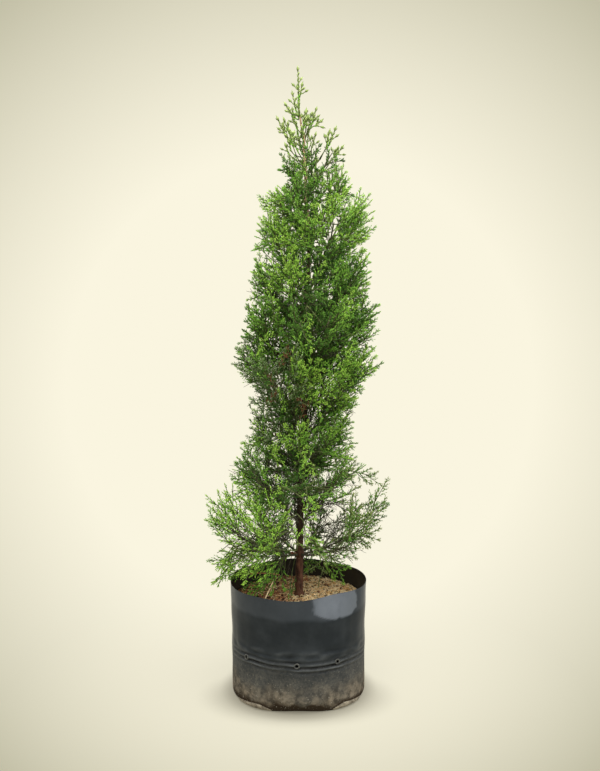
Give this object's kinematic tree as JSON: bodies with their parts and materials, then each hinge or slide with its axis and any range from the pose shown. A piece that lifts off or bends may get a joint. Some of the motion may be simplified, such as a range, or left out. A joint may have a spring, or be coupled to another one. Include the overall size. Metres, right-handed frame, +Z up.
{
  "type": "potted young cypress tree",
  "caption": "Young cypress with a narrow upright crown of feathery sprays round one straight trunk, growing in a round soil-filled black film nursery bag with a flat underside.",
  "frame": {"origin": "centre of the nursery bag's flat underside", "axes": "+Z up from the underside along the trunk, -Y the front, +X the plant's right as seen from the front"},
  "size_m": [0.3152, 0.2913, 1.0352],
  "materials": {
    "film": "black polythene film, semi-gloss, dusty and muddy towards its foot",
    "soil": "loose coir and soil mix, matt, red-brown to straw",
    "bark": "thin scaly bark, matt, red-brown, paler towards the top",
    "foliage": "scale-leaf sprays, satin, bright yellow-green tips over deep green"
  },
  "bodies": {
    "root": {"grow_bag": "film", "high_foliage_1": "foliage", "high_foliage_2": "foliage", "high_foliage_3": "foliage", "high_foliage_4": "foliage", "higher_foliage_1": "foliage", "higher_foliage_2": "foliage", "higher_foliage_3": "foliage", "higher_foliage_4": "foliage", "leader_foliage": "foliage", "low_bough_1": "bark", "low_bough_2": "bark", "low_bough_3": "bark", "low_bough_4": "bark", "low_bough_5": "bark", "low_foliage_1": "foliage", "low_foliage_2": "foliage", "low_foliage_3": "foliage", "low_foliage_4": "foliage", "low_foliage_5": "foliage", "lower_middle_foliage_1": "foliage", "lower_middle_foliage_2": "foliage", "lower_middle_foliage_3": "foliage", "lower_middle_foliage_4": "foliage", "middle_foliage_1": "foliage", "middle_foliage_2": "foliage", "middle_foliage_3": "foliage", "middle_foliage_4": "foliage", "neck_foliage_1": "foliage", "neck_foliage_2": "foliage", "neck_foliage_3": "foliage", "neck_foliage_4": "foliage", "potting_soil": "soil", "shoulder_foliage_1": "foliage", "shoulder_foliage_2": "foliage", "shoulder_foliage_3": "foliage", "shoulder_foliage_4": "foliage", "skirt_bough_1": "bark", "skirt_bough_2": "bark", "skirt_bough_3": "bark", "skirt_bough_4": "bark", "skirt_bough_5": "bark", "skirt_bough_6": "bark", "skirt_foliage_1": "foliage", "skirt_foliage_2": "foliage", "skirt_foliage_3": "foliage", "skirt_foliage_4": "foliage", "skirt_foliage_5": "foliage", "skirt_foliage_6": "foliage", "top_foliage_1": "foliage", "top_foliage_2": "foliage", "top_foliage_3": "foliage", "trunk": "bark", "upper_middle_foliage_1": "foliage", "upper_middle_foliage_2": "foliage", "upper_middle_foliage_3": "foliage", "upper_middle_foliage_4": "foliage"}
  },
  "joints": []
}
